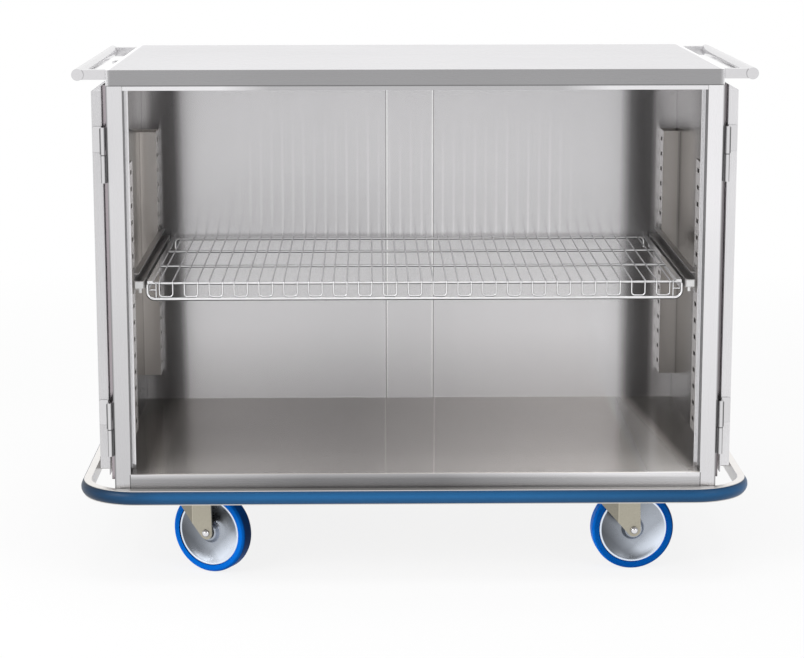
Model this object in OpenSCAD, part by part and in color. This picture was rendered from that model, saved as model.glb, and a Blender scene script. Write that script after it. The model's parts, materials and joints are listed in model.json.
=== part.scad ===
// Stainless case cart: a cabinet with two folded-back doors and a sliding wire shelf,
// on a bumper base with four swivel casters. +Z is up, the front faces -Y, and the origin
// lies on the ground under the middle of the cart.

/* [Cabinet] */
// Width of the cabinet over its end panels
body_w = 1143; // [1000:1:1300]
// Depth of the cabinet
body_d = 660; // [600:1:760]
// Height of the top face above the ground
total_h = 977; // [900:1:1100]
// Height of the turned-down edge of the top
skirt_h = 30; // [26:1:45]
// Sheet thickness of the top
top_sheet = 1.5; // [1:0.1:2.5]
// Radius of the vertical corners of the top
top_corner = 5; // [3:0.5:12]
// Sheet thickness of the end and back panels
sheet = 1.2; // [0.8:0.1:2]
// Sheet thickness of the floor panel
floor_sheet = 1.5; // [1:0.1:2.5]
// Width of the front posts
post_w = 30; // [26:1:45]
// Depth of the front posts, the header and the sills
post_d = 40; // [34:1:60]
// Wall of the posts, the header and the sills
post_wall = 2; // [1:0.1:3]
// Height of the header below the top's edge
header_drop = 8; // [8:1:25]
// Height of the sills
sill_h = 27.5; // [22:0.5:40]
// Width of the door stop beside each post
stop_w = 7; // [4:0.5:9]
// Depth of the leg that holds a door stop to its post
stop_leg = 15; // [8:1:18]
// Width of the cover strip on the back panel
strip_w = 100; // [60:1:160]
// Thickness of the cover strip
strip_t = 2; // [1:0.1:3]

/* [Pilasters] */
// Width of a pilaster, front to back
pilaster_w = 59; // [45:1:80]
// How far a pilaster stands out from the end panel
pilaster_out = 35.3; // [34:0.1:45]
// Sheet thickness of a pilaster
pilaster_sheet = 1.2; // [1:0.1:2]
// Height of the pilasters' lower end above the floor panel
pilaster_lift = 65; // [40:1:120]
// Length of the pilasters
pilaster_h = 522; // [400:1:560]
// Distance between slots
slot_pitch = 32; // [25:0.5:40]
// Height of a slot
slot_h = 8.5; // [7:0.5:12]
// Width of a slot
slot_w = 24; // [10:1:30]
// Height of the first slot above the pilaster's lower end
first_slot = 23; // [15:1:35]

/* [Base] */
// Width of a caster channel
channel_w = 120; // [110:1:150]
// Height of a caster channel
channel_h = 20.5; // [18:0.5:35]
// Plate thickness of a caster channel
channel_t = 3; // [2:0.5:5]
// Height of the front and back base rails
base_h = 25; // [20:1:35]
// How far the base rails reach behind the cabinet's face
base_in = 12; // [8:1:20]
// Wall of the base rails and the cross beams
base_wall = 2; // [1.5:0.5:3]
// Side of a cross beam's square section
beam = 25; // [20:1:35]
// Distance of the cross beams from the middle
beam_y = 90; // [60:1:110]
// Gap between the end panels and the bumper channel
end_gap = 54.5; // [40:0.5:80]
// Gap between the cabinet's face and the bumper channel
face_gap = 10; // [6:0.5:20]
// Inside corner radius of the bumper channel
web_r = 96; // [80:1:96]
// Wall of the bumper channel
bumper_wall = 1.5; // [1:0.1:2.5]
// Depth of the bumper channel
bumper_d = 14; // [10:0.5:25]
// How far the insert stands out of the channel
insert_out = 6; // [4:0.5:12]

/* [Push handles] */
// Diameter of the handle tube
handle_d = 22; // [19:0.5:28]
// Wall of the handle tube and its arms
handle_wall = 1.5; // [1:0.1:2.5]
// Distance of the tube's centre from the end of the cabinet
handle_reach = 51; // [48:1:70]
// Depth of the tube's centre below the top face
handle_drop = 8.5; // [7:0.5:10]
// How much shorter than the cabinet the tube is
handle_short = 44; // [20:1:90]
// Height of a handle arm
arm_h = 18; // [14:0.5:20]
// Width of a handle arm
arm_w = 20; // [16:1:30]
// Distance of an arm from the tube's end
arm_inset = 4; // [3:0.5:20]
// Thickness of an end cap's face
cap_t = 2; // [1:0.5:4]

/* [Doors] */
// Distance of a hinge axis out from the face and from the end of the cabinet
hinge_out = 6.5; // [6.5:0.1:8]
// Sheet thickness of the outer skin
skin_t = 1.5; // [1:0.1:1.5]
// Gap between a closed skin and the cabinet's face
face_clear = 0.5; // [0.3:0.1:0.8]
// How far the skin laps over the frame
door_lap = 7; // [5:0.5:7.5]
// Gap between the door pan and the frame
pan_gap = 3.5; // [3:0.1:6]
// Depth of the door pan
pan_d = 18; // [17.5:0.5:21]
// Sheet thickness of the door pan
pan_sheet = 1.2; // [0.8:0.1:1.5]
// Gap between the two closed doors
door_gap = 2; // [1.5:0.5:6]
// Width of the recessed pull
pull_w = 50; // [40:1:70]
// Height of the recessed pull
pull_h = 110; // [90:1:140]
// Depth of the pull's cup behind the skin
pull_d = 15; // [10:0.5:16]
// Width of the pull's flange
pull_flange = 6; // [4:0.5:10]
// Wall of the pull
pull_t = 1; // [0.8:0.1:1.5]
// Clearance of the pull's cup in the skin's cutout
pull_clear = 0.1; // [0.1:0.1:0.5]
// Distance of the pull's middle from the door's free edge
pull_inset = 57; // [45:1:80]
// Height of the pull's middle above the door's lower edge
pull_z = 375; // [300:1:420]

/* [Hinges] */
// Height of the lower hinge above the floor panel
hinge_low = 36.5; // [25:0.5:80]
// Depth of the upper hinge's top below the top face
hinge_high = 105; // [90:0.5:160]
// Height of a hinge's lower knuckle, on the post
knuckle_low = 51; // [40:0.5:60]
// Height of a hinge's upper knuckle, on the door
knuckle_high = 52; // [46:0.5:60]
// Outer diameter of a knuckle
knuckle_d = 9; // [8.5:0.1:9]
// Diameter of a hinge pin
pin_d = 5; // [4:0.1:5]
// Clearance of a pin in the door knuckle, on the radius
pin_clear = 0.05; // [0.02:0.01:0.1]
// Vertical gap between two knuckles
knuckle_gap = 0.3; // [0.2:0.1:0.5]
// Thickness of a hinge leaf
leaf_t = 2; // [1.5:0.1:2]
// Width of the leaf on the post
post_leaf = 32; // [26:1:38]
// Diameter of a hinge screw
screw_d = 4; // [3:0.5:4.5]

/* [Door holders] */
// Distance of a holder's middle behind the cabinet's face
holder_y = 500; // [460:1:510]
// Length of a holder tab, along the end of the cabinet
holder_l = 120; // [80:1:130]
// How far a holder tab reaches out from the end
holder_out = 41; // [35:0.5:41]
// Height of a holder tab's lower face above the top's edge
holder_lift = 5; // [3:0.5:8]
// Thickness of a holder tab
holder_t = 3; // [2:0.5:4]
// Length of the magnet block
magnet_l = 40; // [20:1:60]
// Height of the magnet block
magnet_h = 35; // [20:1:45]

/* [Shelf] */
// Number of the pilaster slot that carries the shelf, counted from 0
shelf_notch = 8; // [2:1:12]
// Distance of the shelf's front rod behind the cabinet's face
shelf_front = 80; // [74:1:110]
// Distance of the shelf's back rod from the cabinet's back
shelf_back = 20; // [15:1:60]
// Height of the long rods above the slide channel's lower face
rod_lift = 9.3; // [8:0.1:11]
// Diameter of the long rods
rod_d = 5.4; // [4:0.1:6]
// Diameter of the hairpin wires
wire_d = 3; // [2:0.1:4]
// Diameter of the front frame rod
frame_rod_d = 6.4; // [5:0.1:8]
// Distance between hairpins
hairpin_pitch = 47.4; // [40:0.1:60]
// Distance between the legs of a hairpin
hairpin_w = 25.4; // [20:0.1:30]
// Drop of the hairpins below the front rod
hairpin_drop = 24.9; // [18:0.1:40]
// Width and height of a shelf side bar's flanges
bar_w = 10; // [8:0.5:16]
// Height of a shelf side bar
bar_h = 18; // [14:0.5:24]
// Thickness of a shelf side bar
bar_t = 2; // [1.5:0.1:2.5]

/* [Slides] */
// Height of a slide channel
slide_h = 32; // [28:0.5:32]
// Depth of a slide channel
slide_d = 11; // [9:0.5:14]
// Sheet thickness of the slides
slide_t = 1.5; // [1:0.1:1.5]
// Running clearance between slide parts
slide_clear = 0.3; // [0.2:0.1:0.5]
// Width of the moving rail
rail_w = 19.4; // [17:0.1:22]
// Height of the moving rail
rail_h = 17; // [15:0.5:20]
// Gap between the moving rail and the shelf's side bar
rail_gap = 4; // [2:0.5:8]
// Distance of the slide's front end behind the cabinet's face
slide_front = 60; // [50:1:62]
// Width of the hook plates on the slide channels
hook_w = 40; // [30:1:50]
// How far a hook plate stands over and under the channel
hook_over = 8; // [4:0.5:12]
// Height of a hook
hook_h = 7; // [5:0.5:7]
// How far a hook reaches into the pilaster
hook_reach = 3; // [2:0.5:6]

/* [Casters] */
// Distance of the swivel axes in from the ends of the cabinet
caster_in = 164.5; // [150:0.5:210]
// Gap between a caster plate and the front sill
sill_clear = 1.5; // [0.5:0.5:20]
// Diameter of a wheel
wheel_d = 160; // [150:1:165]
// Gap between a wheel and the fork's crown
wheel_gap = 13; // [5:0.5:15]
// Width of the tread
tread_w = 32; // [26:0.5:34]
// Thickness of the tyre
tyre_t = 13; // [8:0.5:18]
// Distance of the axle from the swivel axis
trail = 16; // [12:1:24]
// Diameter of the hub
hub_d = 28; // [24:0.5:34]
// Length of the hub
hub_l = 38; // [34:0.5:41]
// Diameter of the axle sleeve
sleeve_d = 15; // [12:0.5:16]
// Diameter of the axle bolt
axle_d = 10; // [8:0.5:11]
// Running clearance of the hub and of the kingpin, on the radius
bore_clear = 0.05; // [0.02:0.01:0.1]
// Distance between the fork legs
fork_gap = 44; // [42:0.5:50]
// Plate thickness of the fork legs
fork_t = 3; // [2:0.5:4]
// Width of the fork at its crown
fork_w = 77; // [70:1:84]
// How far the crown is set off from the swivel axis, away from the axle
fork_set = 12; // [4:1:14]
// Width of the folded leading edge of a fork leg
wing_w = 36; // [16:1:40]
// How far that edge leans in
wing_lean = 5; // [2:0.5:5]
// Thickness of the fork's crown
crown_t = 5; // [4:0.5:6]
// Diameter of the raceway
raceway_d = 68; // [60:1:74]
// Length of the mounting plate, sideways
plate_l = 100; // [96:1:106]
// Width of the mounting plate, front to back
plate_w = 85; // [80:1:95]
// Thickness of the mounting plate
plate_t = 4; // [3:0.5:5]
// Height of the raceway under the plate
raceway_h = 7.7; // [7:0.1:9]
// Diameter of the kingpin
kingpin_d = 12; // [10:0.5:14]
// Bolt spacing, sideways
bolt_x = 80; // [78:1:84]
// Bolt spacing, front to back
bolt_y = 60; // [58:1:64]
// Diameter of a caster bolt
bolt_d = 8; // [6:0.5:8]
// Swivel angle of the front left caster
swivel_fl = -28; // [-180:1:180]
// Swivel angle of the front right caster
swivel_fr = 5; // [-180:1:180]
// Swivel angle of the rear left caster
swivel_rl = 0; // [-180:1:180]
// Swivel angle of the rear right caster
swivel_rr = 0; // [-180:1:180]

/* [Hidden] */
$fn = 64;
eps = 0.01;
steel = [0.78, 0.78, 0.77];
bright = [0.88, 0.88, 0.88];
dull = [0.6, 0.6, 0.57];
blue = [0.16, 0.4, 0.62];
wheel_blue = [0.0, 0.42, 0.85];
nylon = [0.95, 0.95, 0.95];

// Cabinet faces and levels
half_w = body_w / 2;
front_y = -body_d / 2;
back_y = body_d / 2;
open_x = half_w - post_w;
in_x = half_w - sheet;
in_y = back_y - sheet;
seat_gap = 0.3;
caster_h = wheel_d + wheel_gap + crown_t + seat_gap + raceway_h + plate_t;
floor_under = caster_h + channel_h;
floor_z = floor_under + floor_sheet;
sill_z = floor_under - sill_h;
base_z = sill_z - base_h;
skirt_z = total_h - skirt_h;
header_z = skirt_z - header_drop;
post_back = front_y + post_d;

// Bumper loop: corner centres, and radii counted from them
corner_x = half_w + end_gap - web_r;
corner_y = body_d / 2 + face_gap - web_r;
lip_r = web_r + bumper_d;
insert_r = lip_r + insert_out;
insert_gap = 0.3;

// Pilasters and slots
pilaster_x = in_x - pilaster_out;
pilaster_z = floor_z + pilaster_lift;
slot_count = floor((pilaster_h - first_slot - slot_h) / slot_pitch) + 1;
pilaster_front_y = post_back;
pilaster_rear_y = in_y - pilaster_w;

// Hinge axes: a door is drawn from its axis, with x across it and y along its width
hinge_x = half_w + hinge_out;
hinge_y = front_y - hinge_out;
hinge_zs = [floor_z + hinge_low, total_h - hinge_high - knuckle_low - knuckle_high];
skin_n = hinge_out - face_clear - skin_t;
pan_n = skin_n + skin_t;
skin_u = hinge_x - open_x - door_lap;
pan_u = hinge_x - open_x + pan_gap;
door_u = hinge_x - door_gap / 2;
skin_low = floor_z - door_lap;
skin_top = header_z + door_lap;
pan_low = floor_z + pan_gap;
pan_top = header_z - pan_gap;
leaf_clear = 0.8;
leaf_n = hinge_out - leaf_clear - leaf_t;
leaf_plate_lift = 2;
leaf_plate_h = knuckle_high - 2 * leaf_plate_lift;
leaf_corner = 4;
leaf_edge = 0.5;
leaf_depth = pan_n + pan_d - leaf_n - leaf_edge;
notch_gap = 0.5;
pin_cap = 3;
pin_end = 0.3;
tongue_t = 4;
screw_grip = 6;
screw_clear = 0.05;
screw_head_d = 1.75 * screw_d;
screw_edge = 0.3;
screw_rise = 3;
door_screw_n = leaf_n + leaf_depth - screw_head_d / 2 - screw_edge;
post_screw_edge = 12;
post_screw_u = hinge_out + post_leaf - post_screw_edge;
post_screw_inset = 15;
post_head_h = 1.7;
post_head_d = 7;
pull_corner = 8;
door_clear = 0.3;
magnet_drop = 3;

// Slides and shelf, counted in from the pilaster faces
slide_z = pilaster_z + first_slot + shelf_notch * slot_pitch;
slide_x1 = pilaster_x - slide_clear;
slide_x0 = slide_x1 - slide_d;
slide_y0 = front_y + slide_front;
slide_y1 = back_y - shelf_back;
rail_x1 = slide_x1 - slide_t - slide_clear;
rail_x0 = rail_x1 - rail_w;
rail_z0 = slide_z + slide_t + slide_clear;
rail_back = 4;
shelf_x = rail_x0 - rail_gap;
rod_y0 = front_y + shelf_front;
rod_y1 = back_y - shelf_back;
rod_z = slide_z + rod_lift;
rod_places = [0, 0.36, 0.69, 1];
wire_r = (rod_d + wire_d) / 2;
wire_z = rod_z + wire_r;
drop_y = rod_y0 - wire_r;
drop_z = rod_z - hairpin_drop;
hairpin_corner = 6;
frame_rod_z = drop_z - (wire_d + frame_rod_d) / 2;
frame_bend = 14;
frame_rise = 28;
rod_bend = 8;
rod_tail = 20;
bar_x0 = shelf_x - bar_w;
bar_top = rod_z + rod_d / 2 + bar_t;
bar_y0 = drop_y + frame_rod_d / 2;
bar_y1 = rod_y1 - rod_d / 2;
side_pins = floor((shelf_x - hairpin_w) / hairpin_pitch);
tie_inset = 16.5;
tie_drop = 12;
tie_x = shelf_x - tie_inset;
tie_z = rod_z - tie_drop;
boss_r = 5;
boss_drop = 1;
boss_places = [0.08, 0.5, 0.92];
block_front = 8;
block_depth = 10;
block_h = 14;
block_z = rail_z0 + rail_h - block_h;
block_nose = 1;
stud_r = 3;
stud_h = 9;
hook_side = 1;
rail_y0 = slide_y0;
rail_y1 = slide_y1 - rail_back;

// Casters
caster_x = half_w - caster_in;
caster_y = -post_back - sill_clear - plate_w / 2;
axle_z = wheel_d / 2;
plate_z = caster_h - plate_t;
raceway_z = plate_z - raceway_h;
crown_z = raceway_z - seat_gap - crown_t;
crown_top = crown_z + crown_t;
fork_foot = 13;
wing_drop = 42;
leg_y = fork_gap / 2;
fork_x0 = -fork_set - fork_w / 2;
fork_x1 = fork_x0 + fork_w;
rim_r = wheel_d / 2 - tyre_t;
tyre_shoulder = 6;
rim_lip = 2;
rim_inset = 2;
lip_fall = 3;
hub_round = 2;
hub_bevel = 1;
cone_w = 13;
cone_foot = 2;
dish_half = 3;
dish_w = 8.4;
wall_w = 16;
wall_foot = 1;
bolt_head_h = 5.3;
bolt_nut_h = 6.5;
bolt_end = 2;
bolt_flats = 13;
axle_head_r = 7.5;
axle_nut_flats = 16;
axle_nut_h = 6;
axle_end = 1;
plate_corner = 6;

// Helpers

// The right-hand piece as drawn, or its mirror image on the left
module on_side(side) {
    if (side > 0) children();
    else mirror([1, 0, 0]) children();
}

module both_sides() {
    for (side = [-1, 1]) on_side(side) children();
}

module front_and_back() {
    children();
    mirror([0, 1, 0]) children();
}

// A box from its lowest corner to its highest
module span(low, high) {
    translate(low) cube(high - low);
}

// A rectangle centred on the origin with round corners
module round_rect(w, d, r) {
    square([w - 2 * r, d], center = true);
    square([w, d - 2 * r], center = true);
    for (x = [-1, 1], y = [-1, 1]) translate([x * (w / 2 - r), y * (d / 2 - r)]) circle(r);
}

module bar_x(x0, x1, d) {
    translate([x0, 0, 0]) rotate([0, 90, 0]) cylinder(h = x1 - x0, d = d);
}

module bar_y(y0, y1, d) {
    translate([0, y0, 0]) rotate([-90, 0, 0]) cylinder(h = y1 - y0, d = d);
}

module bar_z(z0, z1, d) {
    translate([0, 0, z0]) cylinder(h = z1 - z0, d = d);
}

// A quarter bend of round bar, from +X to +Y
module elbow(d, r) {
    rotate_extrude(angle = 90) translate([r, 0]) circle(d = d);
}

// A quarter bend from +X up to +Z, or down to -Z
module elbow_up(d, r) {
    rotate([90, 0, 0]) elbow(d, r);
}

module elbow_down(d, r) {
    rotate([-90, 0, 0]) elbow(d, r);
}

// A section swept round the base: x runs out from the corner centres, y runs up
module base_loop() {
    for (turn = [0, 180]) rotate(turn) {
        translate([corner_x, corner_y, 0]) rotate([90, 0, 0])
            linear_extrude(2 * corner_y) children();
        rotate(90) translate([corner_y, corner_x, 0]) rotate([90, 0, 0])
            linear_extrude(2 * corner_x) children();
        translate([corner_x, corner_y, 0]) rotate_extrude(angle = 90) children();
        translate([-corner_x, corner_y, 0]) rotate(90) rotate_extrude(angle = 90) children();
    }
}

// Cabinet

module top_panel() {
    color(steel) difference() {
        translate([0, 0, skirt_z]) linear_extrude(skirt_h) round_rect(body_w, body_d, top_corner);
        translate([0, 0, skirt_z - eps]) linear_extrude(skirt_h - top_sheet + eps)
            round_rect(body_w - 2 * top_sheet, body_d - 2 * top_sheet, top_corner - top_sheet);
    }
}

// A box tube along X, open at its ends
module tube_x(low, high, wall) {
    difference() {
        span(low, high);
        span(low + [-eps, wall, wall], high - [-eps, wall, wall]);
    }
}

module header_rail() {
    color(steel) tube_x([-open_x, front_y + top_sheet, header_z],
                        [open_x, post_back, total_h - top_sheet], post_wall);
}

module front_post(side) {
    color(steel) on_side(side) difference() {
        span([open_x, front_y, sill_z], [half_w, post_back, skirt_z]);
        span([open_x + post_wall, front_y + post_wall, sill_z - eps],
             [half_w - post_wall, post_back - post_wall, skirt_z + eps]);
        post_screw_holes();
    }
}

module sills() {
    color(steel) {
        tube_x([-open_x, front_y, sill_z], [open_x, post_back, floor_under], post_wall);
        tube_x([-in_x, in_y - post_d, sill_z], [in_x, in_y, floor_under], post_wall);
    }
}

module side_panel(side) {
    color(steel) on_side(side) span([in_x, post_back, caster_h], [half_w, in_y, skirt_z]);
}

module back_panel() {
    color(steel) span([-half_w, in_y, caster_h], [half_w, back_y, skirt_z]);
}

module back_cover_strip() {
    color(steel) span([-strip_w / 2, in_y - strip_t, floor_under], [strip_w / 2, in_y, skirt_z]);
}

// The floor is notched round the cover strip and the door stops, which stand on the sills
module floor_panel() {
    color(steel) difference() {
        union() {
            span([-open_x, front_y, floor_under], [open_x, in_y, floor_z]);
            both_sides() span([open_x - eps, post_back, floor_under], [in_x, in_y, floor_z]);
        }
        span([-strip_w / 2, in_y - strip_t, floor_under - eps], [strip_w / 2, in_y + eps, floor_z + eps]);
        both_sides() door_stop(floor_under - eps, floor_z + eps);
    }
}

module pilaster(y0) {
    difference() {
        span([pilaster_x, y0, pilaster_z], [in_x, y0 + pilaster_w, pilaster_z + pilaster_h]);
        span([pilaster_x + pilaster_sheet, y0 + pilaster_sheet, pilaster_z - eps],
             [in_x + eps, y0 + pilaster_w - pilaster_sheet, pilaster_z + pilaster_h + eps]);
        for (k = [0 : slot_count - 1])
            translate([pilaster_x - eps, y0 + (pilaster_w - slot_w) / 2,
                       pilaster_z + first_slot + k * slot_pitch - slot_h / 2])
                cube([pilaster_sheet + 2 * eps, slot_w, slot_h]);
    }
}

module pilasters() {
    color(steel) both_sides() {
        pilaster(pilaster_front_y);
        pilaster(pilaster_rear_y);
    }
}

// An angle on the inner face of a post
module door_stop(z0, z1) {
    span([open_x - stop_w, post_back - post_wall, z0], [open_x, post_back, z1]);
    span([open_x - post_wall, post_back - stop_leg, z0], [open_x, post_back, z1]);
}

module door_stops() {
    color(bright) both_sides() door_stop(floor_under, header_z);
}

// Base

module bumper_channel() {
    color(steel) base_loop() difference() {
        translate([web_r, base_z - bumper_wall]) square([bumper_d, base_h + 2 * bumper_wall]);
        translate([web_r + bumper_wall, base_z]) square([bumper_d, base_h]);
    }
}

// The insert is straight between the channel's lips and domed outside them
module bumper_insert() {
    dome_r = (pow(base_h / 2, 2) + pow(insert_out, 2)) / (2 * insert_out);
    color(blue) base_loop() intersection() {
        translate([web_r + bumper_wall + insert_gap, base_z]) square([bumper_d + insert_out, base_h]);
        union() {
            translate([web_r, base_z]) square([bumper_d, base_h]);
            translate([insert_r - dome_r, base_z + base_h / 2]) circle(dome_r);
        }
    }
}

// The plan of the space inside the bumper channel
module inside_web() {
    round_rect(2 * (corner_x + web_r), 2 * (corner_y + web_r), web_r);
}

module base_rails() {
    rail_front = front_y - face_gap;
    rail_back = front_y + base_in;
    color(dull) front_and_back() difference() {
        translate([0, 0, base_z]) linear_extrude(base_h) intersection() {
            inside_web();
            translate([-half_w, rail_front]) square([body_w, rail_back - rail_front]);
        }
        span([-corner_x, rail_front + base_wall, base_z - eps],
             [corner_x, rail_back - base_wall, base_z + base_h - base_wall]);
    }
}

module cross_beams() {
    reach = corner_x + web_r;
    color(dull) front_and_back()
        tube_x([-reach, beam_y - beam / 2, caster_h - beam],
               [reach, beam_y + beam / 2, caster_h], base_wall);
}

module caster_channels() {
    color(dull) both_sides() difference() {
        span([caster_x - channel_w / 2, post_back, caster_h],
             [caster_x + channel_w / 2, in_y - post_d, floor_under]);
        span([caster_x - channel_w / 2 + channel_t, post_back - eps, caster_h + channel_t],
             [caster_x + channel_w / 2 - channel_t, in_y - post_d + eps, floor_under + eps]);
        for (y = [-caster_y, caster_y]) translate([caster_x, y, caster_h - eps])
            bolt_holes(channel_t + 2 * eps);
    }
}

// Push handles

module push_handle(side) {
    tube_x0 = half_w + handle_reach;
    tube_z = total_h - handle_drop;
    tube_y0 = front_y + cap_t;
    tube_y1 = back_y - handle_short - cap_t;
    arm_ys = [front_y + arm_inset, back_y - handle_short - arm_inset - arm_w];
    arm_end = tube_x0 - handle_d / 2 - handle_wall;
    color(bright) on_side(side) difference() {
        union() {
            translate([tube_x0, 0, tube_z]) bar_y(tube_y0, tube_y1, handle_d);
            for (y = arm_ys) span([half_w, y, total_h - arm_h], [tube_x0, y + arm_w, total_h]);
        }
        translate([tube_x0, 0, tube_z]) bar_y(tube_y0 - eps, tube_y1 + eps, handle_d - 2 * handle_wall);
        for (y = arm_ys)
            span([half_w - eps, y + handle_wall, total_h - arm_h + handle_wall],
                 [arm_end, y + arm_w - handle_wall, total_h - handle_wall]);
    }
}

module handle_caps() {
    plug_l = 10;
    plug_clear = 0.05;
    plug_d = handle_d - 2 * (handle_wall + plug_clear);
    y_ends = [front_y, back_y - handle_short];
    color(bright) both_sides() translate([half_w + handle_reach, 0, total_h - handle_drop]) {
        bar_y(y_ends[0], y_ends[0] + cap_t, handle_d);
        bar_y(y_ends[0], y_ends[0] + cap_t + plug_l, plug_d);
        bar_y(y_ends[1] - cap_t, y_ends[1], handle_d);
        bar_y(y_ends[1] - cap_t - plug_l, y_ends[1], plug_d);
    }
}

// Hinges, drawn from the hinge axis of the right-hand door

module at_hinges() {
    for (z = hinge_zs) translate([hinge_x, hinge_y, z]) children();
}

// Screw places on a post leaf, seen from the axis
module at_post_screws() {
    for (z = [post_screw_inset, knuckle_low + knuckle_high - post_screw_inset])
        translate([-hinge_out, post_screw_u, z]) children();
}

module post_screw_holes() {
    at_hinges() at_post_screws()
        bar_x(-post_wall - eps, leaf_t + eps, screw_d + 2 * screw_clear);
}

module frame_hinge_leaves() {
    knuckle_top = knuckle_low - knuckle_gap / 2;
    color(bright) both_sides() difference() {
        at_hinges() {
            span([-hinge_out, hinge_out, 0],
                 [leaf_t - hinge_out, hinge_out + post_leaf, knuckle_low + knuckle_high]);
            span([-hinge_out, 0, 0], [tongue_t - hinge_out, hinge_out + eps, knuckle_top]);
            bar_z(0, knuckle_top, knuckle_d);
        }
        at_hinges() bar_z(-eps, knuckle_low, pin_d);
        post_screw_holes();
    }
}

module hinge_pins() {
    color(bright) both_sides() at_hinges()
        bar_z(0, knuckle_low + knuckle_high - pin_cap - pin_end, pin_d);
}

module hinge_screws() {
    color(bright) both_sides() at_hinges() at_post_screws() {
        bar_x(leaf_t, leaf_t + post_head_h, post_head_d);
        bar_x(leaf_t - screw_grip, leaf_t + eps, screw_d);
    }
}

// Places of the screws in the door leaves, on the pan's edge
module at_door_screws() {
    screw_z = knuckle_low + leaf_plate_lift + leaf_plate_h / 2 + screw_rise;
    at_hinges() translate([door_screw_n, pan_u, screw_z]) children();
}

module door_hinge_leaves(side) {
    color(bright) on_side(side) difference() {
        at_hinges() {
            bar_z(knuckle_low + knuckle_gap / 2, knuckle_low + knuckle_high, knuckle_d);
            translate([0, 0, knuckle_low + leaf_plate_lift]) {
                span([leaf_n, 0, 0], [leaf_n + leaf_t, pan_u, leaf_plate_h]);
                span([leaf_n, pan_u - leaf_t, 0],
                     [leaf_n + leaf_depth - leaf_corner, pan_u, leaf_plate_h]);
                span([leaf_n, pan_u - leaf_t, leaf_corner],
                     [leaf_n + leaf_depth, pan_u, leaf_plate_h - leaf_corner]);
                for (z = [leaf_corner, leaf_plate_h - leaf_corner])
                    translate([leaf_n + leaf_depth - leaf_corner, 0, z])
                        bar_y(pan_u - leaf_t, pan_u, 2 * leaf_corner);
            }
        }
        at_hinges() bar_z(knuckle_low, knuckle_low + knuckle_high - pin_cap, pin_d + 2 * pin_clear);
        at_door_screws() screw_cone(screw_clear);
    }
}

// A countersunk screw, its head level with the leaf
module screw_cone(clear) {
    head_r = screw_head_d / 2 + clear;
    shank_r = screw_d / 2 + clear;
    translate([0, -leaf_t - clear, 0]) rotate([-90, 0, 0])
        cylinder(h = leaf_t + clear, r1 = head_r, r2 = shank_r);
    bar_y(-eps, screw_grip, 2 * shank_r);
}

module door_screws(side) {
    color(dull) on_side(side) at_door_screws() screw_cone(0);
}

// Doors

module door_skin(side) {
    color(steel) on_side(side) difference() {
        translate([hinge_x, hinge_y, 0])
            span([skin_n, skin_u, skin_low], [skin_n + skin_t, door_u, skin_top]);
        at_hinges() translate([0, 0, knuckle_low + leaf_plate_lift])
            span([0, 0, -notch_gap], [pan_n + eps, pan_u, leaf_plate_h + notch_gap]);
        at_pull() pull_plate(pull_w + 2 * pull_clear, pull_h + 2 * pull_clear, -eps, skin_t + eps,
                             pull_corner + pull_clear);
    }
}

module door_pan(side) {
    color(steel) on_side(side) difference() {
        translate([hinge_x, hinge_y, 0]) difference() {
            span([pan_n, pan_u, pan_low], [pan_n + pan_d, door_u, pan_top]);
            span([pan_n - eps, pan_u + pan_sheet, pan_low + pan_sheet],
                 [pan_n + pan_d - pan_sheet, door_u - pan_sheet, pan_top - pan_sheet]);
        }
        at_door_screws() bar_y(-eps, pan_sheet + eps, screw_d + 2 * screw_clear);
    }
}

module at_pull() {
    translate([hinge_x + skin_n, hinge_y + door_u - pull_inset, skin_low + pull_z]) children();
}

// A plate with round corners across the door, from depth n0 to n1 behind the skin's face
module pull_plate(w, h, n0, n1, r) {
    translate([n0, 0, 0]) rotate([90, 0, 90]) linear_extrude(n1 - n0) round_rect(w, h, r);
}

module door_pull(side) {
    color(bright) on_side(side) at_pull() difference() {
        union() {
            pull_plate(pull_w + 2 * pull_flange, pull_h + 2 * pull_flange, -pull_t, 0,
                       pull_corner + pull_flange);
            pull_plate(pull_w, pull_h, -pull_t, pull_d, pull_corner);
        }
        pull_plate(pull_w - 2 * pull_t, pull_h - 2 * pull_t, -pull_t - eps, pull_d - pull_t,
                   pull_corner - pull_t);
    }
}

// A round-ended tab over each open door, and the magnet block that holds the door's skin
module door_holders() {
    tab_z = skirt_z + holder_lift;
    tab_r = (pow(holder_l / 2, 2) + pow(holder_out, 2)) / (2 * holder_out);
    hold_y = front_y + holder_y;
    color(bright) both_sides() {
        translate([half_w, hold_y, tab_z]) linear_extrude(holder_t) intersection() {
            translate([0, -holder_l / 2]) square([holder_out, holder_l]);
            translate([holder_out - tab_r, 0]) circle(tab_r, $fn = 96);
        }
        span([half_w, hold_y - magnet_l / 2, skirt_z - magnet_drop - magnet_h],
             [hinge_x + skin_n - door_clear, hold_y + magnet_l / 2, skirt_z - magnet_drop]);
    }
}

// Slides

module slide_channel(side) {
    hook_z0 = slide_z - hook_over;
    hook_z1 = slide_z + slide_h + hook_over;
    hook_ys = [pilaster_front_y + pilaster_w / 2, pilaster_rear_y + pilaster_w / 2];
    color(dull) on_side(side) {
        difference() {
            span([slide_x0, slide_y0, slide_z], [slide_x1, slide_y1, slide_z + slide_h]);
            span([slide_x0 - eps, slide_y0 - eps, slide_z + slide_t],
                 [slide_x1 - slide_t, slide_y1 + eps, slide_z + slide_h - slide_t]);
        }
        for (y = hook_ys) {
            y0 = max(y - hook_w / 2, slide_y0);
            y1 = min(y + hook_w / 2, slide_y1);
            span([slide_x1 - slide_t, y0, hook_z0], [slide_x1, y1, hook_z1]);
            for (k = [0, 1])
                translate([slide_x1 - eps, y - slot_w / 2 + hook_side,
                           slide_z + k * slot_pitch - slot_h / 2])
                    cube([hook_reach + eps, slot_w - 2 * hook_side, hook_h]);
        }
    }
}

// Shelf

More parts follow.
